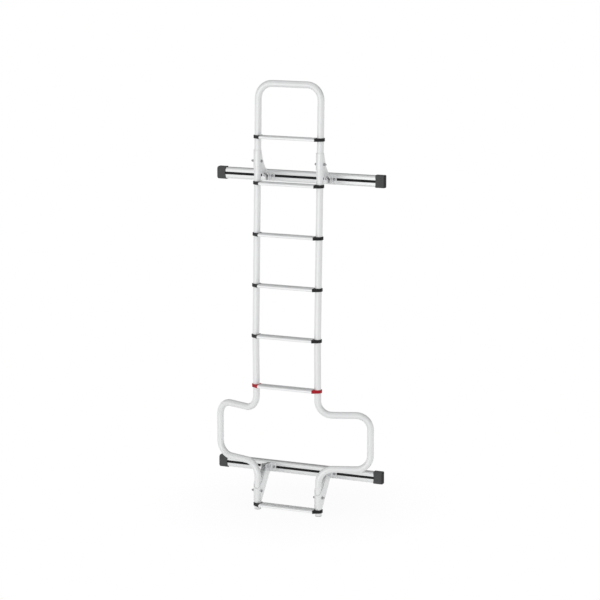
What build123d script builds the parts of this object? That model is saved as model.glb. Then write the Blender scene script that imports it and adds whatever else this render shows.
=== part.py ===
# Van rear door ladder: a bent-tube ladder held on two slotted bars that are bolted to the door.
# Millimetres. +Z is up, +X is the climber's right, +Y goes through the door, and the origin is
# the middle of the lower bar's back face, where that bar lies on the door.
import os

from build123d import *

# Tubes: heights are above the lower bar's middle, depths are from the door
tube_d = 30.0
tube_wall = 2.0
bend_r = 65.0
kink_r = 400.0
rail_spacing = 295.0
hoop_y = -135.0
kink_y = -172.5
rail_foot_y = -167.0
leg_y = -159.0
hand_hold = 226.0
kink_drop = 27.5
joint_drop = 6.5

# Number-plate bulge
bulge_x = 364.5
bulge_y = -85.0
bulge_drop = 115.5
bulge_low_z = 52.0

# Steps
step_front = 32.0
step_back = 16.0
step_h = 13.0
step_wall = 1.8
nose_r = 5.5
heel_r = 2.0
rib_w = 1.5
rib_h = 0.7
rib_pitch = 3.0
rib_count = 12
joint_step_z = 414.5
step_pitch = 226.0
pitch_steps = 4
top_step_rise = 201.5

# Step supports
collar_wall = 4.0
collar_clearance = 0.3
face_wall = 1.7
support_over = 0.5
support_edge_r = 1.5
tongue = 14.0
tongue_clearance = 0.3

# Foot plugs
plug_lip = 3.0
plug_depth = 16.0
plug_clearance = 0.3
leg_tail = 13.5

# Bars
bars_overall = 798.0
bar_h = 50.0
bar_d = 28.0
bar_wall = 3.0
bar_front_r = 9.0
bar_back_r = 1.5
slot_h = 11.5
channel_h = 22.0
web = 2.0
bar_over_step = 9.5
door_bolt_spacing = 560.0
door_hole_d = 6.6

# Bar caps
cap_wall = 3.0
cap_end = 4.0
cap_l = 43.0
cap_scoop = 3.0
cap_edge_r = 5.0

# Slot inserts
insert_recess = 0.5
insert_wing = 17.0
insert_wing_t = 2.5

# Brackets: reach is measured out from the bar's front, rise from the bar's middle to the saddle
sheet = 3.0
saddle_clearance = 0.3
saddle_far = 127.0
upper_saddle_near = 55.0
lower_saddle_near = 42.0
scallop = 27.0
cheek_straight = 5.0
heel_rise = 23.0
knee_reach = 57.0
neck_reach = 20.0
neck_rise = 2.0
toe_reach = 68.0
toe_rise = -6.0
shoulder_rise = -28.0
ledge_reach = 16.0
arch_reach = 86.0
arch_rise = 65.0
corner_r = 6.0
neck_half = 4.5
upper_foot_half = 29.5
lower_foot_half = 34.0
foot_low = -20.0
foot_high = 21.0
foot_r = 5.0
fold_r = 2.5
foot_screw_inset = 10.7
cross_bolt_rise = 79.0
bolt_hole_d = 6.6
leg_step_gap = 7.5

# Worked out from the above
tube_r = tube_d / 2
rail_x = rail_spacing / 2
pitched_tops = [joint_step_z + step_pitch * n for n in range(pitch_steps, -1, -1)]
top_step_z = pitched_tops[0] + top_step_rise
leg_step_z = -saddle_far - leg_step_gap
step_tops = [top_step_z] + pitched_tops + [leg_step_z]
hoop_z = top_step_z + hand_hold
kink_z = joint_step_z + step_pitch - kink_drop
joint_z = joint_step_z - joint_drop
bulge_top_z = joint_step_z - bulge_drop
leg_end_z = leg_step_z - step_h - leg_tail
collar_r = tube_r + collar_clearance
support_r = collar_r + collar_wall
support_face = collar_r + face_wall
support_h = step_h + 2 * support_over
saddle_r = tube_r + saddle_clearance
saddle_out = saddle_r + sheet
neck_out = neck_half + sheet
foot_front_y = -bar_d - sheet
bar_l = bars_overall - 2 * cap_end
bars = {"upper": pitched_tops[0] + bar_over_step, "lower": 0.0}
foot_halves = {"upper": upper_foot_half, "lower": lower_foot_half}
sides = {"left": -1, "right": 1}


def rail_slope(z):
    """How far the rail moves towards the door for each millimetre of height."""
    if z > kink_z:
        return (hoop_y - kink_y) / (hoop_z - kink_z)
    if z >= bulge_top_z:
        return (rail_foot_y - kink_y) / (bulge_top_z - kink_z)
    return 0.0


def rail_y(z):
    """Depth of the rail's or leg's axis at a height."""
    if z < bulge_top_z:
        return leg_y
    return kink_y + (z - kink_z) * rail_slope(z)


def rail_plane(side, z):
    """Plane across a rail at a height, with its normal up along the tube."""
    return Plane(
        origin=(side * rail_x, rail_y(z), z), x_dir=(1, 0, 0), z_dir=(0, rail_slope(z), 1)
    )


def section_plane(x, y, z):
    """Plane of a section across X: local x runs to the door and local y runs up."""
    return Plane(origin=(x, y, z), x_dir=(0, 1, 0), z_dir=(1, 0, 0))


def front_plane(x, y, z):
    """Plane that faces the climber: local x runs to the right and local y runs up."""
    return Plane(origin=(x, y, z), x_dir=(1, 0, 0), z_dir=(0, -1, 0))


def draw_tube():
    """Tube section, drawn in the open sketch."""
    Circle(tube_r)
    Circle(tube_r - tube_wall, mode=Mode.SUBTRACT)


def draw_step_outline(section):
    """Step outline under its ribs, round at the nose, drawn in the open sketch."""
    body_h = step_h - rib_h
    with Locations(((step_back - step_front) / 2, -rib_h - body_h / 2)):
        Rectangle(step_front + step_back, body_h)
    fillet(section.vertices().group_by(Axis.X)[0], nose_r)
    fillet(section.vertices().group_by(Axis.X)[-1], heel_r)


def draw_bar_outline(section, growth=0.0):
    """Bar outline on the door, grown at the front, top and bottom, drawn in the open sketch."""
    with Locations((-(bar_d + growth) / 2, 0)):
        Rectangle(bar_d + growth, bar_h + 2 * growth)
    fillet(section.vertices().group_by(Axis.X)[0], bar_front_r + growth)
    fillet(section.vertices().group_by(Axis.X)[-1], bar_back_r)


os.makedirs("parts", exist_ok=True)

# Upper hoop: both upper rails and the hand hold in one tube, drilled for the upper cross bolts
with BuildPart() as hoop:
    with BuildLine() as hoop_path:
        FilletPolyline(
            (-rail_x, rail_y(joint_z), joint_z),
            (-rail_x, kink_y, kink_z),
            (-rail_x, hoop_y, hoop_z),
            (rail_x, hoop_y, hoop_z),
            (rail_x, kink_y, kink_z),
            (rail_x, rail_y(joint_z), joint_z),
            radius=[kink_r, bend_r, bend_r, kink_r],
        )
    with BuildSketch(Plane(origin=hoop_path.line @ 0, z_dir=hoop_path.line % 0)):
        draw_tube()
    sweep()
    hoop_bolt_z = bars["upper"] + cross_bolt_rise
    with BuildSketch(section_plane(0, rail_y(hoop_bolt_z), hoop_bolt_z)):
        Circle(bolt_hole_d / 2)
    extrude(amount=rail_spacing, both=True, mode=Mode.SUBTRACT)
hoop.part.label = "upper_hoop"
export_step(hoop.part, "parts/upper_hoop.step")

# Lower tubes: from the joint step out and back round the number plate, then in again as a leg
for side_name, side in sides.items():
    with BuildPart() as lower_tube:
        with BuildLine() as tube_path:
            FilletPolyline(
                (side * rail_x, rail_y(joint_z), joint_z),
                (side * rail_x, rail_foot_y, bulge_top_z),
                (side * bulge_x, bulge_y, bulge_top_z),
                (side * bulge_x, bulge_y, bulge_low_z),
                (side * rail_x, leg_y, bulge_low_z),
                (side * rail_x, leg_y, leg_end_z),
                radius=bend_r,
            )
        with BuildSketch(Plane(origin=tube_path.line @ 0, z_dir=tube_path.line % 0)):
            draw_tube()
        sweep()
        with BuildSketch(section_plane(side * rail_x, leg_y, -cross_bolt_rise)):
            Circle(bolt_hole_d / 2)
        extrude(amount=tube_d, both=True, mode=Mode.SUBTRACT)
    lower_tube.part.label = f"{side_name}_lower_tube"
    export_step(lower_tube.part, f"parts/{side_name}_lower_tube.step")

# Foot plugs: pushed into the legs, with a lip as wide as the tube
for side_name, side in sides.items():
    with BuildPart() as plug:
        with BuildSketch(rail_plane(side, leg_end_z)):
            Circle(tube_r)
        extrude(amount=-plug_lip)
        with BuildSketch(rail_plane(side, leg_end_z)):
            Circle(tube_r - tube_wall - plug_clearance)
        extrude(amount=plug_depth)
        fillet(plug.faces().sort_by(Axis.Z)[0].edges(), plug_lip / 2)
    plug.part.label = f"foot_plug_{side_name}"
    export_step(plug.part, f"parts/foot_plug_{side_name}.step")

# Steps: one hollow ribbed profile, cut to fit between the supports' faces
for number, top_z in enumerate(step_tops, start=1):
    with BuildPart() as step:
        with BuildSketch(section_plane(0, rail_y(top_z - step_h / 2), top_z)) as section:
            draw_step_outline(section)
            offset(amount=-step_wall, mode=Mode.SUBTRACT)
            with Locations(((step_back - step_front) / 2, -rib_h / 2)):
                with GridLocations(rib_pitch, 0, rib_count, 1):
                    Rectangle(rib_w, rib_h)
        extrude(amount=rail_x - support_face, both=True)
    step.part.label = f"step_{number}"
    export_step(step.part, f"parts/step_{number}.step")

# Step supports: a collar round the rail, drawn out to the step's nose, with a flat face for the
# step's end and a tongue that goes into it
for side_name, side in sides.items():
    for number, top_z in enumerate(step_tops, start=1):
        mid_z = top_z - step_h / 2
        mid_y = rail_y(mid_z)
        collar_plane = Plane(
            origin=(side * rail_x, mid_y, mid_z), x_dir=(-side, 0, 0), z_dir=(0, 0, -side)
        )
        with BuildPart() as support:
            with BuildSketch(collar_plane):
                with BuildLine():
                    CenterArc((0, 0), support_r, 0, 360)
                    Line((support_face, -step_front), (support_face, step_back))
                make_hull()
                with Locations((support_face, 0)):
                    Rectangle(
                        tube_d, 4 * step_front, align=(Align.MIN, Align.CENTER), mode=Mode.SUBTRACT
                    )
            extrude(amount=support_h / 2, both=True)
            step_face = support.faces().sort_by(Axis.X)[-1 if side < 0 else 0]
            rim = support.faces().filter_by(Axis.Z).edges() - step_face.edges()
            fillet(rim, support_edge_r)
            with BuildSketch(section_plane(side * (rail_x - support_face), mid_y, top_z)) as section:
                draw_step_outline(section)
                offset(amount=-step_wall - tongue_clearance, mode=Mode.REPLACE)
            extrude(amount=-side * tongue)
            with BuildSketch(rail_plane(side, mid_z)):
                Circle(collar_r)
            extrude(amount=support_h, both=True, mode=Mode.SUBTRACT)
        support.part.label = f"step_support_{side_name}_{number}"
        export_step(support.part, f"parts/step_support_{side_name}_{number}.step")

# Bars: slotted extrusions with a chamber above and below the channel, drilled for the door bolts
chamber_h = (bar_h - channel_h) / 2 - web - bar_wall
chamber_d = bar_d - 2 * bar_wall
for bar_name, bar_z in bars.items():
    with BuildPart() as bar:
        with BuildSketch(section_plane(0, 0, bar_z)) as section:
            draw_bar_outline(section)
            with Locations((-bar_d / 2, 0)):
                Rectangle(chamber_d, channel_h, mode=Mode.SUBTRACT)
            with Locations((-bar_d, 0)):
                Rectangle(2 * bar_wall, slot_h, mode=Mode.SUBTRACT)
            for up in (-1, 1):
                with BuildSketch(mode=Mode.SUBTRACT) as chamber:
                    with Locations((-bar_d / 2, up * (channel_h / 2 + web + chamber_h / 2))):
                        Rectangle(chamber_d, chamber_h)
                    front_corners = chamber.vertices().group_by(Axis.X)[0].sort_by(Axis.Y)
                    fillet(front_corners[-1 if up > 0 else 0], bar_front_r - bar_wall)
        extrude(amount=bar_l / 2, both=True)
        with BuildSketch(front_plane(0, 0, bar_z)):
            with GridLocations(door_bolt_spacing, 0, 2, 1):
                Circle(door_hole_d / 2)
        extrude(amount=2 * bar_wall, both=True, mode=Mode.SUBTRACT)
    bar.part.label = f"{bar_name}_bar"
    export_step(bar.part, f"parts/{bar_name}_bar.step")

# Bar caps: a moulded shoe over each bar end, open to the door, with a scooped inner edge
cap_half_h = bar_h / 2 + cap_wall
for bar_name, bar_z in bars.items():
    for side_name, side in sides.items():
        end_x = side * bars_overall / 2
        inner_x = end_x - side * cap_l
        with BuildPart() as cap:
            with BuildSketch(section_plane(end_x, 0, bar_z)) as section:
                draw_bar_outline(section, cap_wall)
            extrude(amount=-side * cap_l)
            outer_end = cap.faces().sort_by(Axis.X)[-1 if side > 0 else 0]
            rounded = outer_end.edges().filter_by_position(Axis.Y, -bar_d - cap_wall, -bar_back_r)
            fillet(rounded, cap_edge_r)
            with BuildSketch(section_plane(end_x - side * cap_end, 0, bar_z)) as section:
                draw_bar_outline(section)
            extrude(amount=-side * cap_l, mode=Mode.SUBTRACT)
            with BuildSketch(front_plane(inner_x, 0, bar_z)):
                with BuildLine():
                    ThreePointArc((0, -cap_half_h), (side * cap_scoop, 0), (0, cap_half_h))
                    Line((0, cap_half_h), (0, -cap_half_h))
                make_face()
            extrude(amount=2 * bar_d, mode=Mode.SUBTRACT)
        cap.part.label = f"{bar_name}_bar_cap_{side_name}"
        export_step(cap.part, f"parts/{bar_name}_bar_cap_{side_name}.step")

# Slot inserts: strips that clip behind the slot's lips, left out where a bracket's foot sits
for bar_name, bar_z in bars.items():
    foot_half = foot_halves[bar_name]
    outer_run = bar_l / 2 - rail_x - foot_half
    insert_runs = {
        "left": (-bar_l / 2 + outer_run / 2, outer_run),
        "middle": (0.0, 2 * (rail_x - foot_half)),
        "right": (bar_l / 2 - outer_run / 2, outer_run),
    }
    for run_name, (run_x, run_l) in insert_runs.items():
        with BuildPart() as insert:
            with BuildSketch(section_plane(run_x, 0, bar_z)):
                with Locations((-bar_d + insert_recess, 0)):
                    Rectangle(bar_wall - insert_recess, slot_h, align=(Align.MIN, Align.CENTER))
                with Locations((-bar_d + bar_wall, 0)):
                    Rectangle(insert_wing_t, insert_wing, align=(Align.MIN, Align.CENTER))
            extrude(amount=run_l / 2, both=True)
        insert.part.label = f"{bar_name}_slot_insert_{run_name}"
        export_step(insert.part, f"parts/{bar_name}_slot_insert_{run_name}.step")

# Brackets: folded sheet, a saddle round the front of the tube, two cheeks that close in to a neck
# and two feet on the bar. The upper pair rises from its bar and the lower pair hangs from it.
ledge_y = -bar_d - ledge_reach
neck_y = -bar_d - neck_reach
toe_y = -bar_d - toe_reach
for bar_name, bar_z in bars.items():
    up = 1 if bar_name == "upper" else -1
    foot_half = foot_halves[bar_name]
    saddle_near = upper_saddle_near if up > 0 else lower_saddle_near
    cheek_near = heel_rise if up > 0 else lower_saddle_near
    near_y = rail_y(bar_z + up * cheek_near)
    far_y = rail_y(bar_z + up * saddle_far)
    taper_y = far_y + cheek_straight
    bolt_z = bar_z + up * cross_bolt_rise
    if up > 0:
        near_edge = [(-bar_d - knee_reach, heel_rise), (neck_y, neck_rise), (neck_y, foot_low)]
        soft_corner = (neck_y, neck_rise)
    else:
        near_edge = [(toe_y, -toe_rise), (toe_y, -shoulder_rise), (neck_y, -foot_low)]
        soft_corner = (toe_y, -shoulder_rise)
    for side_name, side in sides.items():
        bracket_x = side * rail_x
        with BuildPart() as bracket:
            with BuildSketch(Plane(origin=(bracket_x, 0, bar_z))):
                for hand in (-1, 1):
                    with BuildLine():
                        Polyline(
                            (hand * saddle_r, near_y),
                            (hand * saddle_out, near_y),
                            (hand * saddle_out, taper_y),
                            (hand * neck_out, foot_front_y),
                            (hand * neck_out, -bar_d),
                            (hand * neck_half, -bar_d),
                            (hand * neck_half, foot_front_y),
                            (hand * saddle_r, taper_y),
                            close=True,
                        )
                    make_face()
            extrude(amount=saddle_far, both=True)
            with BuildSketch(section_plane(bracket_x, 0, bar_z)) as cheek:
                with BuildLine():
                    Polyline(
                        (far_y, up * saddle_far),
                        (near_y, up * cheek_near),
                        *near_edge,
                        (-bar_d, up * foot_low),
                        (-bar_d, up * foot_high),
                        (ledge_y, up * foot_high),
                    )
                    if up > 0:
                        ThreePointArc(
                            (ledge_y, foot_high),
                            (-bar_d - arch_reach, arch_rise),
                            (far_y, saddle_far),
                        )
                    else:
                        Line((ledge_y, -foot_high), (far_y, -saddle_far))
                make_face()
                fillet(cheek.vertices().sort_by_distance(soft_corner)[0], corner_r)
            extrude(amount=foot_half, both=True, mode=Mode.INTERSECT)
            with BuildSketch(front_plane(bracket_x, -bar_d, bar_z)):
                with Locations((0, up * (foot_low + foot_high) / 2)):
                    RectangleRounded(2 * foot_half, foot_high - foot_low, foot_r)
                Rectangle(2 * neck_half, 4 * foot_high, mode=Mode.SUBTRACT)
                with GridLocations(2 * (foot_half - foot_screw_inset), 0, 2, 1):
                    Circle(bolt_hole_d / 2, mode=Mode.SUBTRACT)
            extrude(amount=sheet)
            for hand in (-1, 1):
                fold_line = (bracket_x + hand * neck_out, foot_front_y, bar_z)
                fillet(bracket.edges().filter_by(Axis.Z).sort_by_distance(fold_line)[0], fold_r)
            with BuildSketch(rail_plane(side, bar_z + up * saddle_near)):
                Circle(saddle_out)
                Circle(saddle_r, mode=Mode.SUBTRACT)
                Rectangle(
                    2 * saddle_out, saddle_out, align=(Align.CENTER, Align.MIN), mode=Mode.SUBTRACT
                )
            extrude(amount=up * (saddle_far - saddle_near))
            if up < 0:
                with BuildSketch(section_plane(bracket_x, near_y, bar_z - saddle_near)):
                    with BuildLine():
                        Polyline((0, 0), (-saddle_out, 0), (-saddle_out, -scallop), close=True)
                    make_face()
                extrude(amount=foot_half, both=True, mode=Mode.SUBTRACT)
            with BuildSketch(section_plane(bracket_x, rail_y(bolt_z), bolt_z)):
                Circle(bolt_hole_d / 2)
            extrude(amount=foot_half, both=True, mode=Mode.SUBTRACT)
        bracket.part.label = f"{bar_name}_bracket_{side_name}"
        export_step(bracket.part, f"parts/{bar_name}_bracket_{side_name}.step")
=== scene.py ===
import math

import bmesh
import bpy
from mathutils import Matrix, Vector


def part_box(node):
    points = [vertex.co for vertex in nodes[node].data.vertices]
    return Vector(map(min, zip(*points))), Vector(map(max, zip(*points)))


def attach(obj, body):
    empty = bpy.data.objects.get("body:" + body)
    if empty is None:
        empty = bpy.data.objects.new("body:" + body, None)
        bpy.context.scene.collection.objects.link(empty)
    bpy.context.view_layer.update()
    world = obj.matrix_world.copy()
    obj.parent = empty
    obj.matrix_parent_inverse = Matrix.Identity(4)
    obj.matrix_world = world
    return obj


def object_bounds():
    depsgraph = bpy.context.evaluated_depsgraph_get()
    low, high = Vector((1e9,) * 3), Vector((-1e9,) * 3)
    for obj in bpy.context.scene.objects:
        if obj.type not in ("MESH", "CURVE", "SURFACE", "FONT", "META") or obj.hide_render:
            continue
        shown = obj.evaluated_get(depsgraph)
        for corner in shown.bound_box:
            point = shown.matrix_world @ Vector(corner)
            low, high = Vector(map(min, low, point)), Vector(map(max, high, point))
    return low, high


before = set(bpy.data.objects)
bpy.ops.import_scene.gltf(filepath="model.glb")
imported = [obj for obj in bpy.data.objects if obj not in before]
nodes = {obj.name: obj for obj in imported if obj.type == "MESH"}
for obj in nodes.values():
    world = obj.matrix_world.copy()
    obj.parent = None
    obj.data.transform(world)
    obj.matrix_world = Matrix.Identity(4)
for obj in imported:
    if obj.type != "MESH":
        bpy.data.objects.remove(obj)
cad_low, cad_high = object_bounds()

# The two slotted bars that bolt across the door: aluminium extrusions with a satin silver
# anodised skin. The die leaves fine lines along their length.


def put(tree, kind, feeds=(), **settings):
    """A node in a tree. Each feed names an input, and gives its value or what drives it."""
    node = tree.nodes.new(kind)
    for key, value in settings.items():
        setattr(node, key, value)
    for socket, source in feeds:
        if isinstance(source, bpy.types.NodeSocket):
            tree.links.new(source, node.inputs[socket])
        else:
            node.inputs[socket].default_value = source
    return node


def start_effect(name, inputs, outputs):
    """A shader group with named sockets, and its two end nodes."""
    group = bpy.data.node_groups.new(name, "ShaderNodeTree")
    for socket_name, kind, value in inputs:
        socket = group.interface.new_socket(socket_name, in_out="INPUT", socket_type=kind)
        socket.default_value = value
    for socket_name, kind in outputs:
        group.interface.new_socket(socket_name, in_out="OUTPUT", socket_type=kind)
    return group, group.nodes.new("NodeGroupInput"), group.nodes.new("NodeGroupOutput")


die_lines, lines_in, lines_out = start_effect(
    "die_lines",
    [("Lines per metre", "NodeSocketVector", (6.0, 700.0, 700.0))],
    [("Lines", "NodeSocketFloat")],
)
lines_place = put(die_lines, "ShaderNodeTexCoord")
lines_stretch = put(
    die_lines,
    "ShaderNodeVectorMath",
    [(0, lines_place.outputs["Object"]), (1, lines_in.outputs["Lines per metre"])],
    operation="MULTIPLY",
)
lines_noise = put(
    die_lines,
    "ShaderNodeTexNoise",
    [("Vector", lines_stretch.outputs[0]), ("Scale", 1.0), ("Detail", 3.0), ("Roughness", 0.65)],
)
die_lines.links.new(lines_noise.outputs["Fac"], lines_out.inputs["Lines"])

clouding, clouding_in, clouding_out = start_effect(
    "clouding",
    [("Patches per metre", "NodeSocketFloat", 12.0)],
    [("Clouds", "NodeSocketFloat")],
)
clouding_place = put(clouding, "ShaderNodeTexCoord")
clouding_noise = put(
    clouding,
    "ShaderNodeTexNoise",
    [
        ("Vector", clouding_place.outputs["Object"]),
        ("Scale", clouding_in.outputs["Patches per metre"]),
        ("Detail", 5.0),
        ("Roughness", 0.6),
        ("Distortion", 0.4),
    ],
)
clouding_spread = put(
    clouding,
    "ShaderNodeMapRange",
    [("Value", clouding_noise.outputs["Fac"]), ("From Min", 0.3), ("From Max", 0.7)],
)
clouding.links.new(clouding_spread.outputs["Result"], clouding_out.inputs["Clouds"])

broken_edge, edge_in, edge_out = start_effect(
    "broken_edge",
    [("Edge radius", "NodeSocketFloat", 0.0006)],
    [("Normal", "NodeSocketVector"), ("Rubbed", "NodeSocketFloat")],
)
edge_round = put(
    broken_edge, "ShaderNodeBevel", [("Radius", edge_in.outputs["Edge radius"])], samples=4
)
edge_face = put(broken_edge, "ShaderNodeNewGeometry")
edge_turn = put(
    broken_edge,
    "ShaderNodeVectorMath",
    [(0, edge_round.outputs["Normal"]), (1, edge_face.outputs["Normal"])],
    operation="DOT_PRODUCT",
)
edge_rub = put(
    broken_edge,
    "ShaderNodeMapRange",
    [("Value", edge_turn.outputs["Value"]), ("From Min", 0.985), ("From Max", 0.85)],
)
broken_edge.links.new(edge_round.outputs["Normal"], edge_out.inputs["Normal"])
broken_edge.links.new(edge_rub.outputs["Result"], edge_out.inputs["Rubbed"])


def place_effect(tree, group, socket, value):
    """A shader group in a material, with the material's own value on its input."""
    return put(tree, "ShaderNodeGroup", [(socket, value)], node_tree=group)


def start_material(name, **constants):
    """A material and its tree, with the constants set on the shader's own sockets."""
    material = bpy.data.materials.new(name)
    material.use_nodes = True
    skin = material.node_tree.nodes["Principled BSDF"]
    for socket, value in constants.items():
        skin.inputs[socket.replace("_", " ")].default_value = value
    return material, material.node_tree, skin


def mixed(tree, share, first, second):
    """A colour between two, by a share that changes over the surface."""
    node = put(tree, "ShaderNodeMix", [(0, share), (6, first), (7, second)], data_type="RGBA")
    return node.outputs[2]


def ranged(tree, value, low, high, start=0.25, end=0.75):
    """A value that changes over the surface, brought between two limits."""
    feeds = [(0, value), (1, start), (2, end), (3, low), (4, high)]
    return put(tree, "ShaderNodeMapRange", feeds).outputs[0]


def weakened(tree, mask, most):
    """A mask from 0 to 1, brought down to the most that it may show."""
    return ranged(tree, mask, 0.0, most, start=0.0, end=1.0)


def add_relief(tree, skin, height, strength, depth, under=None):
    """Fine relief on a skin, over the rounded normal of its edges where one is given."""
    feeds = [("Strength", strength), ("Distance", depth), ("Height", height)]
    if under is not None:
        feeds.append(("Normal", under))
    relief = put(tree, "ShaderNodeBump", feeds)
    tree.links.new(relief.outputs["Normal"], skin.inputs["Normal"])


def anodised(name, lines_per_metre, dull, bright, roughness, metallic, edge_radius=0.0006):
    """Silver anodised aluminium: faint lines, clouding, and edges rubbed brighter."""
    bare_edge = (0.9, 0.9, 0.9, 1.0)
    material, tree, skin = start_material(name, Metallic=metallic)
    lines = place_effect(tree, die_lines, "Lines per metre", lines_per_metre)
    clouds = place_effect(tree, clouding, "Patches per metre", 14.0)
    edge = place_effect(tree, broken_edge, "Edge radius", edge_radius)
    drawn = mixed(tree, lines.outputs["Lines"], (*dull, 1.0), (*bright, 1.0))
    cloud_share = weakened(tree, clouds.outputs["Clouds"], most=0.35)
    clouded = mixed(tree, cloud_share, drawn, (*dull, 1.0))
    rubbed_share = weakened(tree, edge.outputs["Rubbed"], most=0.6)
    rubbed = mixed(tree, rubbed_share, clouded, bare_edge)
    tree.links.new(rubbed, skin.inputs["Base Color"])
    gloss = ranged(tree, lines.outputs["Lines"], roughness - 0.05, roughness + 0.07)
    tree.links.new(gloss, skin.inputs["Roughness"])
    line_height = lines.outputs["Lines"]
    edge_normal = edge.outputs["Normal"]
    add_relief(tree, skin, line_height, strength=0.5, depth=0.00002, under=edge_normal)
    return material


def finish_node(name, material):
    """Gives a CAD node its finish."""
    nodes[name].data.materials.clear()
    nodes[name].data.materials.append(material)


bar_finish = anodised(
    "bar_anodised",
    lines_per_metre=(5.0, 600.0, 600.0),
    dull=(0.74, 0.745, 0.75),
    bright=(0.85, 0.855, 0.86),
    roughness=0.38,
    metallic=0.7,
)
for bar in ("upper", "lower"):
    finish_node(f"{bar}_bar", bar_finish)

# The bar caps: shoes of dark grey injection-moulded plastic, with a fine spark-eroded grain,
# pushed over the sawn ends of the bars. Their end faces carry painted shade: they are coloured
# near black by the way they face along the bars.
spark_grain, grain_in, grain_out = start_effect(
    "spark_grain",
    [("Grains per metre", "NodeSocketFloat", 900.0)],
    [("Height", "NodeSocketFloat"), ("Speckle", "NodeSocketFloat")],
)
grain_place = put(spark_grain, "ShaderNodeTexCoord")
grain_feeds = [
    ("Vector", grain_place.outputs["Object"]),
    ("Scale", grain_in.outputs["Grains per metre"]),
]
grain_cells = put(spark_grain, "ShaderNodeTexVoronoi", grain_feeds, feature="SMOOTH_F1")
grain_noise = put(spark_grain, "ShaderNodeTexNoise", [*grain_feeds, ("Detail", 2.0)])


def reckoned(tree, operation, first, second=0.0):
    """One step of arithmetic on values that change over a surface."""
    return put(tree, "ShaderNodeMath", [(0, first), (1, second)], operation=operation).outputs[0]


grain_height = reckoned(
    spark_grain, "ADD", grain_cells.outputs["Distance"], grain_noise.outputs["Fac"]
)
spark_grain.links.new(grain_height, grain_out.inputs["Height"])
spark_grain.links.new(grain_noise.outputs["Fac"], grain_out.inputs["Speckle"])


def moulded(name, deep, pale, scuffed, roughness, grains_per_metre=900.0):
    """Grained plastic: a little speckled, clouded by handling, scuffed paler along its edges."""
    material, tree, skin = start_material(name, IOR=1.46, Specular_IOR_Level=0.25)
    grain = place_effect(tree, spark_grain, "Grains per metre", grains_per_metre)
    clouds = place_effect(tree, clouding, "Patches per metre", 40.0)
    edge = place_effect(tree, broken_edge, "Edge radius", 0.0008)
    speckle = ranged(tree, grain.outputs["Speckle"], 0.0, 1.0)
    speckled = mixed(tree, speckle, (*deep, 1.0), (*pale, 1.0))
    handled = clouds.outputs["Clouds"]
    clouded = mixed(tree, weakened(tree, handled, most=0.5), speckled, (*deep, 1.0))
    scuff_share = weakened(tree, edge.outputs["Rubbed"], most=0.5)
    worn = mixed(tree, scuff_share, clouded, (*scuffed, 1.0))
    tree.links.new(worn, skin.inputs["Base Color"])
    gloss = ranged(tree, handled, roughness - 0.06, roughness + 0.06, start=0.0, end=1.0)
    tree.links.new(gloss, skin.inputs["Roughness"])
    grain_top = grain.outputs["Height"]
    edge_normal = edge.outputs["Normal"]
    add_relief(tree, skin, grain_top, strength=0.35, depth=0.0001, under=edge_normal)
    return material


cap_plastic = moulded(
    "cap_plastic",
    deep=(0.075, 0.076, 0.078),
    pale=(0.110, 0.111, 0.113),
    scuffed=(0.15, 0.15, 0.15),
    roughness=0.6,
)
# Painted shade: below, a mask on how far each face turns along the bars colours the caps' end
# faces near black.
cap_end_painted_shade = (0.004, 0.004, 0.0045, 1.0)
cap_tree = cap_plastic.node_tree
cap_colour = cap_tree.nodes["Principled BSDF"].inputs["Base Color"]
cap_grey = cap_colour.links[0].from_socket
cap_face = put(cap_tree, "ShaderNodeNewGeometry")
cap_turn = put(cap_tree, "ShaderNodeSeparateXYZ", [("Vector", cap_face.outputs["Normal"])])
cap_across = reckoned(cap_tree, "ABSOLUTE", cap_turn.outputs["X"])
cap_end_shade_share = ranged(cap_tree, cap_across, 0.0, 1.0, start=0.4, end=0.85)
cap_tree.links.new(mixed(cap_tree, cap_end_shade_share, cap_grey, cap_end_painted_shade), cap_colour)
for bar in ("upper", "lower"):
    for side in ("left", "right"):
        finish_node(f"{bar}_bar_cap_{side}", cap_plastic)

# The slot inserts: black rubber strips pressed into the bars' slots between the brackets'
# feet. They are extruded, and a little dust clings to them.
insert_rubber = moulded(
    "insert_rubber",
    deep=(0.010, 0.010, 0.011),
    pale=(0.020, 0.020, 0.021),
    scuffed=(0.04, 0.04, 0.04),
    roughness=0.75,
    grains_per_metre=500.0,
)
for bar in ("upper", "lower"):
    for run in ("left", "middle", "right"):
        finish_node(f"{bar}_slot_insert_{run}", insert_rubber)

# The four brackets: 3 mm aluminium sheet, cut, folded round the rails and anodised silver.
# The sheet's rolling lines run up and down, and its sheared edges are brighter.
sheet_finish = anodised(
    "sheet_anodised",
    lines_per_metre=(500.0, 500.0, 6.0),
    dull=(0.775, 0.78, 0.785),
    bright=(0.875, 0.88, 0.885),
    roughness=0.42,
    metallic=0.65,
    edge_radius=0.0008,
)
for bar in ("upper", "lower"):
    for side in ("left", "right"):
        finish_node(f"{bar}_bracket_{side}", sheet_finish)

# The foot screws: two stainless button-head screws with washers through each bracket's feet,
# into square nuts that slide in the bar's channel.
foot_screw_inset = 0.0107
foot_sheet_t = 0.003
bar_lip = 0.003
screw_head_r = 0.0055
screw_head_h = 0.0033
washer_r = 0.0065
washer_t = 0.0012
washer_rim = 0.0002
shank_r = 0.003
shank_length = 0.0148
shank_lap = 0.0002
socket_r = 0.002
socket_depth = 0.002
socket_taper = 0.97
square_nut_half = 0.0085
square_nut_t = 0.005
square_nut_play = 0.0002
crisp_corner = math.radians(35)


def add_ring(bm, radii, height, place):
    """One closed ring of points, its radius given for each step round."""
    turn = 2 * math.pi / len(radii)
    return [
        bm.verts.new(place @ Vector((r * math.cos(n * turn), r * math.sin(n * turn), height)))
        for n, r in enumerate(radii)
    ]


def skin_rings(bm, rings):
    """A closed skin over a stack of rings, with its two ends filled."""
    for low, high in zip(rings, rings[1:]):
        for n in range(len(low)):
            after = (n + 1) % len(low)
            bm.faces.new((low[n], low[after], high[after], high[n]))
    bm.faces.new(list(reversed(rings[0])))
    bm.faces.new(rings[-1])


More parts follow.
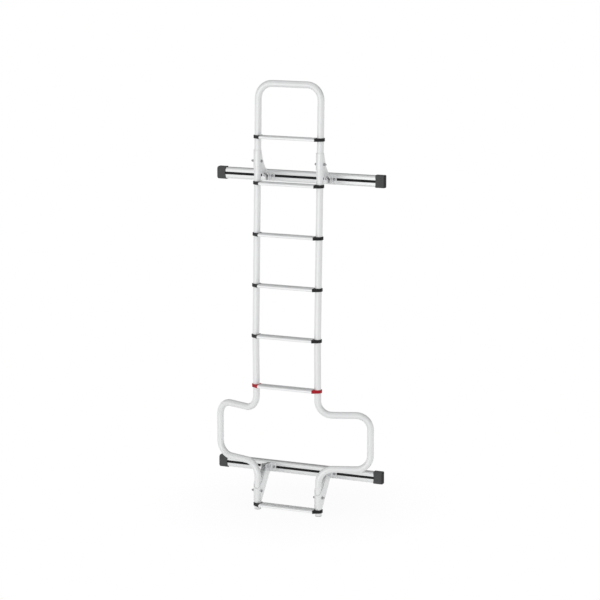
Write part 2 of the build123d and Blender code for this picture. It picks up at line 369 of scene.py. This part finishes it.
def round_radii(radius, count=36):
    """Radii of a circle."""
    return [radius] * count


def hex_radii(flat_half, count=36):
    """Radii of a hexagon, by the half width across its flats."""
    turn = 2 * math.pi / count
    sixth = math.pi / 3
    return [flat_half / math.cos((n * turn) % sixth - sixth / 2) for n in range(count)]


def turned(bm, profile, place):
    """A turned part: rings of one radius each, up the profile."""
    skin_rings(bm, [add_ring(bm, round_radii(r), z, place) for r, z in profile])


def add_washer(bm, place):
    """A flat washer with its rims broken."""
    inner_r = washer_r - washer_rim
    upper_rim = washer_t - washer_rim
    profile = [(inner_r, 0), (washer_r, washer_rim), (washer_r, upper_rim), (inner_r, washer_t)]
    turned(bm, profile, place)


def add_button_head(bm, place):
    """A low domed head with a hexagon socket sunk in its top."""
    dome = [(1.0, 0.0), (1.0, 0.12), (0.97, 0.35), (0.88, 0.62), (0.74, 0.85), (0.6, 1.0)]
    rings = [add_ring(bm, round_radii(r * screw_head_r), h * screw_head_h, place) for r, h in dome]
    floor_h = screw_head_h - socket_depth
    rings.append(add_ring(bm, hex_radii(socket_r), screw_head_h, place))
    rings.append(add_ring(bm, hex_radii(socket_r * socket_taper), floor_h, place))
    skin_rings(bm, rings)


def facing(point, direction):
    """A placement at a point whose local Z runs along a direction."""
    turn = Vector(direction).to_track_quat("Z", "Y").to_matrix().to_4x4()
    return Matrix.Translation(point) @ turn


def add_piece(name, bm, material):
    """A finished mesh as a piece of the ladder, with smooth rounds and crisp corners."""
    bmesh.ops.recalc_face_normals(bm, faces=bm.faces)
    mesh = bpy.data.meshes.new(name)
    bm.to_mesh(mesh)
    bm.free()
    mesh.shade_smooth()
    mesh.set_sharp_from_angle(angle=crisp_corner)
    mesh.materials.append(material)
    piece = bpy.data.objects.new(name, mesh)
    bpy.context.scene.collection.objects.link(piece)
    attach(piece, "root")


def steel(name, dull, bright, roughness):
    """Stainless steel with a fine grain and a little clouding."""
    material, tree, skin = start_material(name, Metallic=1.0)
    grain = place_effect(tree, spark_grain, "Grains per metre", 2500.0)
    clouds = place_effect(tree, clouding, "Patches per metre", 180.0)
    clouded = mixed(tree, clouds.outputs["Clouds"], (*dull, 1.0), (*bright, 1.0))
    tree.links.new(clouded, skin.inputs["Base Color"])
    gloss = ranged(tree, grain.outputs["Speckle"], roughness - 0.06, roughness + 0.08)
    tree.links.new(gloss, skin.inputs["Roughness"])
    add_relief(tree, skin, grain.outputs["Height"], strength=0.25, depth=0.00003)
    return material


screw_steel = steel(
    "screw_steel", dull=(0.32, 0.32, 0.33), bright=(0.48, 0.48, 0.49), roughness=0.32
)
for bar in ("upper", "lower"):
    bar_low, bar_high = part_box(f"{bar}_bar")
    for side in ("left", "right"):
        foot_low, foot_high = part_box(f"{bar}_bracket_{side}")
        for place_name, foot_x in (
            ("left", foot_low.x + foot_screw_inset),
            ("right", foot_high.x - foot_screw_inset),
        ):
            seat = (foot_x, bar_low.y - foot_sheet_t, (bar_low.z + bar_high.z) / 2)
            out = facing(seat, (0, -1, 0))
            bm = bmesh.new()
            add_washer(bm, out)
            add_button_head(bm, out @ Matrix.Translation((0, 0, washer_t)))
            turned(bm, [(shank_r, -shank_length), (shank_r, shank_lap)], out)
            corners = [square_nut_half * math.sqrt(2)] * 4
            quarter = out @ Matrix.Rotation(math.pi / 4, 4, "Z")
            nut_top = -foot_sheet_t - bar_lip - square_nut_play
            nut_levels = (nut_top - square_nut_t, nut_top)
            skin_rings(bm, [add_ring(bm, corners, z, quarter) for z in nut_levels])
            add_piece(f"{bar}_{side}_foot_screw_{place_name}", bm, screw_steel)

# The tubes: 30 mm aluminium tube, bent cold and anodised satin silver. One hoop makes both
# upper rails, and two bent lower tubes plug into the joint step's supports.
tube_finish = anodised(
    "tube_anodised",
    lines_per_metre=(500.0, 500.0, 5.0),
    dull=(0.855, 0.86, 0.865),
    bright=(0.95, 0.955, 0.96),
    roughness=0.45,
    metallic=0.45,
)
for tube in ("upper_hoop", "left_lower_tube", "right_lower_tube"):
    finish_node(tube, tube_finish)

# The cross bolts: one stainless bolt through each saddle and its rail, with a washer at both
# cheeks, a domed nut on the outer side and a hexagon head on the inner side.
cross_bolt_rise = 0.079
collar_r = 0.0193
cheek_out = 0.0183
hex_half = 0.005
crown_r = hex_half * 0.93
dome_nut_h = 0.005
dome_nut_base = 0.96
dome_nut_break = 0.0004
dome_nut_shoulder = 0.0006
dome_top = 0.0105
dome_shares = (0.0, 0.3, 0.6, 0.82, 0.95)
bolt_head_h = 0.004
bolt_head_break = 0.0005


def rail_axis(side, height):
    """The middle of a rail at a height, from the collars above and below it."""
    low, high = (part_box(f"step_support_{side}_{number}") for number in (2, 1))
    y_low, y_high = low[1].y - collar_r, high[1].y - collar_r
    z_low, z_high = (low[0].z + low[1].z) / 2, (high[0].z + high[1].z) / 2
    share = (height - z_low) / (z_high - z_low)
    return y_low + (y_high - y_low) * share


for bar in ("upper", "lower"):
    bar_low, bar_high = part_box(f"{bar}_bar")
    bar_z = (bar_low.z + bar_high.z) / 2
    for side, hand in (("left", -1), ("right", 1)):
        plug_low, plug_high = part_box(f"foot_plug_{side}")
        rail_x = (plug_low.x + plug_high.x) / 2
        if bar == "upper":
            bolt_z = bar_z + cross_bolt_rise
            bolt_y = rail_axis(side, bolt_z)
        else:
            bolt_z = bar_z - cross_bolt_rise
            bolt_y = (plug_low.y + plug_high.y) / 2
        bm = bmesh.new()
        outer = facing((rail_x + hand * cheek_out, bolt_y, bolt_z), (hand, 0, 0))
        inner = facing((rail_x - hand * cheek_out, bolt_y, bolt_z), (-hand, 0, 0))
        for cheek in (outer, inner):
            add_washer(bm, cheek)
        dome_nut = [
            add_ring(bm, hex_radii(hex_half * scale), washer_t + height, outer)
            for scale, height in (
                (dome_nut_base, 0.0),
                (1.0, dome_nut_break),
                (1.0, dome_nut_h - dome_nut_shoulder),
            )
        ]
        for share in dome_shares:
            height = washer_t + dome_nut_h + (dome_top - dome_nut_h) * share
            radius = crown_r * math.sqrt(1 - share * share)
            dome_nut.append(add_ring(bm, round_radii(radius), height, outer))
        skin_rings(bm, dome_nut)
        bolt_head = [
            add_ring(bm, hex_radii(hex_half), washer_t + height, inner)
            for height in (0.0, bolt_head_h - bolt_head_break)
        ]
        bolt_head.append(add_ring(bm, round_radii(crown_r), washer_t + bolt_head_h, inner))
        skin_rings(bm, bolt_head)
        turned(bm, [(shank_r, -2 * cheek_out), (shank_r, shank_lap)], outer)
        add_piece(f"{bar}_cross_bolt_{side}", bm, screw_steel)

# The step supports: collars of black glass-filled plastic, moulded with a satin grain. The
# pair at the joint step is dark red, to mark where the ladder comes apart.
step_count = 7
joint_step = 6
support_plastic = moulded(
    "support_plastic",
    deep=(0.012, 0.012, 0.013),
    pale=(0.026, 0.026, 0.027),
    scuffed=(0.06, 0.06, 0.06),
    roughness=0.5,
)
joint_plastic = moulded(
    "joint_plastic",
    deep=(0.44, 0.010, 0.020),
    pale=(0.55, 0.018, 0.032),
    scuffed=(0.60, 0.06, 0.07),
    roughness=0.5,
)
for side in ("left", "right"):
    for number in range(1, step_count + 1):
        plastic = joint_plastic if number == joint_step else support_plastic
        finish_node(f"step_support_{side}_{number}", plastic)

# The steps: hollow aluminium extrusions with a ribbed, non-slip top, anodised silver and held
# at each end on a support's tongue.
step_finish = anodised(
    "step_anodised",
    lines_per_metre=(5.0, 700.0, 700.0),
    dull=(0.83, 0.835, 0.84),
    bright=(0.95, 0.955, 0.96),
    roughness=0.4,
    metallic=0.7,
    edge_radius=0.0003,
)
for number in range(1, step_count + 1):
    finish_node(f"step_{number}", step_finish)

# The foot plugs: pale grey plastic mouldings that close the legs. Each one's spigot is pushed
# into the open end of the tube, and its foot stays outside.
plug_plastic = moulded(
    "plug_plastic",
    deep=(0.55, 0.55, 0.54),
    pale=(0.66, 0.66, 0.65),
    scuffed=(0.74, 0.74, 0.73),
    roughness=0.5,
)
for side in ("left", "right"):
    finish_node(f"foot_plug_{side}", plug_plastic)

# The floor: a plain white studio sweep just under the foot plugs. It keeps the soft shadow at
# the feet and runs out into the white background. The camera and the metal's reflections see
# its white, and it isn't sampled as a lamp.
floor_size = 60.0
floor_gap = 0.0005
shadow_share = 0.94
shadow_near = 0.2
shadow_far = 0.7
white = (1.0, 1.0, 1.0, 1.0)


def add_stage(name, bm, material):
    """A mesh of the studio, which isn't part of the ladder."""
    mesh = bpy.data.meshes.new(name)
    bm.to_mesh(mesh)
    bm.free()
    material.cycles.emission_sampling = "NONE"
    mesh.materials.append(material)
    piece = bpy.data.objects.new(name, mesh)
    bpy.context.scene.collection.objects.link(piece)
    return piece


floor_paint, floor_tree, floor_skin = start_material(
    "floor_paint", Base_Color=(0.9, 0.9, 0.9, 1.0), Roughness=0.9, Specular_IOR_Level=0.1
)
floor_place = put(floor_tree, "ShaderNodeTexCoord")
floor_reach = put(
    floor_tree, "ShaderNodeVectorMath", [(0, floor_place.outputs["Object"])], operation="LENGTH"
)
floor_fade = ranged(
    floor_tree, floor_reach.outputs["Value"], shadow_share, 1.0, shadow_near, shadow_far
)
floor_rays = put(floor_tree, "ShaderNodeLightPath").outputs
floor_shown = reckoned(floor_tree, "MULTIPLY", floor_rays["Is Camera Ray"], floor_fade)
floor_mirrored = reckoned(
    floor_tree, "MAXIMUM", floor_rays["Is Glossy Ray"], floor_rays["Is Transmission Ray"]
)
floor_share = reckoned(floor_tree, "MAXIMUM", floor_shown, floor_mirrored)
floor_white = put(floor_tree, "ShaderNodeEmission", [("Color", white), ("Strength", 1.0)])
floor_mix = put(
    floor_tree,
    "ShaderNodeMixShader",
    [(0, floor_share), (1, floor_skin.outputs[0]), (2, floor_white.outputs[0])],
)
floor_tree.links.new(floor_mix.outputs[0], floor_tree.nodes["Material Output"].inputs["Surface"])
bm = bmesh.new()
bmesh.ops.create_grid(bm, x_segments=1, y_segments=1, size=floor_size)
floor = add_stage("floor", bm, floor_paint)
floor.location = (0, 0, cad_low.z - floor_gap)

# The backdrop: a low white wall that stands all round the floor, far off, and ends it in white.
# The camera and the metal's reflections see it, and it adds no other light to the ladder.
backdrop_r = 50.0
backdrop_top = 9.5
backdrop_sunk = 1.0
backdrop_sides = 96
backdrop_paint, _, _ = start_material(
    "backdrop_paint",
    Base_Color=(0.0, 0.0, 0.0, 1.0),
    Specular_IOR_Level=0.0,
    Emission_Color=white,
    Emission_Strength=1.0,
)
bm = bmesh.new()
foot_ring, top_ring = (
    add_ring(bm, round_radii(backdrop_r, backdrop_sides), height, Matrix())
    for height in (cad_low.z - backdrop_sunk, backdrop_top)
)
for n in range(backdrop_sides):
    after = (n + 1) % backdrop_sides
    bm.faces.new((foot_ring[n], foot_ring[after], top_ring[after], top_ring[n]))
backdrop = add_stage("backdrop", bm, backdrop_paint)
backdrop.visible_diffuse = False
backdrop.visible_shadow = False

# The studio: walls of soft light, white in front of the ladder and greyer behind it, overhead
# and at both sides, so that the tubes show their roundness. One soft lamp faces the ladder,
# and a weaker one stands to its left.
studio = bpy.data.worlds.new("studio")
bpy.context.scene.world = studio
studio.use_nodes = True
studio_tree = studio.node_tree
studio_tree.nodes.clear()
studio_place = put(studio_tree, "ShaderNodeTexCoord")
studio_split = put(
    studio_tree, "ShaderNodeSeparateXYZ", [("Vector", studio_place.outputs["Generated"])]
)
studio_across = reckoned(studio_tree, "ABSOLUTE", studio_split.outputs["X"])
studio_back = ranged(studio_tree, studio_split.outputs["Y"], 1.0, 0.1, start=0.1, end=0.85)
studio_ceiling = ranged(studio_tree, studio_split.outputs["Z"], 1.0, 0.8, start=0.14, end=0.6)
studio_sides = ranged(studio_tree, studio_across, 1.0, 0.65, start=0.15, end=0.9)
studio_round = reckoned(studio_tree, "MULTIPLY", studio_back, studio_sides)
studio_shade = reckoned(studio_tree, "MULTIPLY", studio_round, studio_ceiling)
studio_walls = put(
    studio_tree, "ShaderNodeBackground", [("Color", studio_shade), ("Strength", 1.0)]
)
put(studio_tree, "ShaderNodeOutputWorld", [("Surface", studio_walls.outputs[0])])

middle = (cad_low + cad_high) / 2
for lamp_name, spot, watts, width, height in (
    ("front_lamp", (-0.5, -5.5, 0.65), 18.0, 3.0, 1.5),
    ("left_lamp", (-4.2, -6.2, 1.2), 10.0, 4.0, 2.6),
):
    lamp_data = bpy.data.lights.new(lamp_name, "AREA")
    lamp_data.shape = "RECTANGLE"
    lamp_data.size = width
    lamp_data.size_y = height
    lamp_data.energy = watts
    lamp = bpy.data.objects.new(lamp_name, lamp_data)
    lamp.matrix_world = facing(spot, Vector(spot) - middle)
    bpy.context.scene.collection.objects.link(lamp)

bpy.context.scene.view_settings.view_transform = "Standard"

# The camera: a long lens in front of the ladder, to its right and a little above it. Its place,
# its two turns in degrees and its lens were fitted to the rails and steps.
camera_down = 11.14
camera_left = 23.13
camera_data = bpy.data.cameras.new("camera")
camera_data.sensor_width = 36.0
camera_data.lens = 133.26
camera = bpy.data.objects.new("camera", camera_data)
camera.location = (3.8007, -8.9195, 2.6827)
camera.rotation_euler = (math.radians(90 - camera_down), 0.0, math.radians(camera_left))
bpy.context.scene.collection.objects.link(camera)
bpy.context.scene.camera = camera
